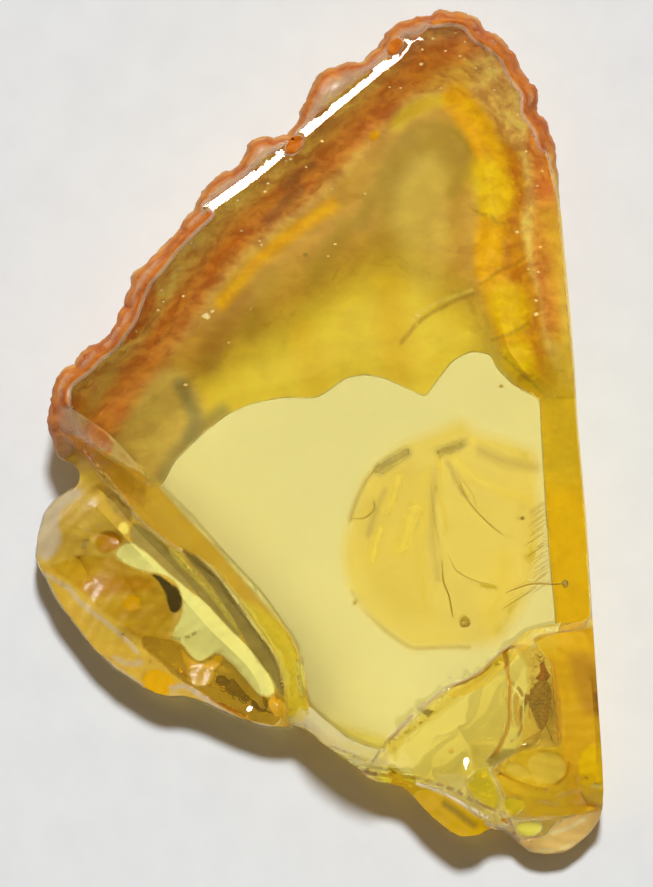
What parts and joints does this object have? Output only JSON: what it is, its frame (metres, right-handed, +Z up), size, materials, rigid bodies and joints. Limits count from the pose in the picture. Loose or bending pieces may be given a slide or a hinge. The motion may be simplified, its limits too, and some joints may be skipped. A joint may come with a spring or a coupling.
{
  "type": "insect in amber",
  "caption": "Polished slice of clear yellow amber with a natural red-brown rind and small insects sealed inside, lying flat.",
  "frame": {"origin": "centre of the bounding box at its lowest level, on the polished underside", "axes": "+Z up out of the polished top face; +Y along the slice towards its rind end; +X towards the sawn side"},
  "size_m": [0.0188, 0.028, 0.0048],
  "materials": {
    "amber": "clear polished fossil resin, with a natural red-brown rind on part of it",
    "insect_brown": "dark reddish-brown fossil cuticle, satin",
    "insect_olive": "dark olive-brown fossil cuticle, satin"
  },
  "bodies": {
    "root": {"amber_lower": "amber", "amber_upper": "amber", "insect_main": "insect_brown", "insect_small": "insect_olive"}
  },
  "joints": []
}
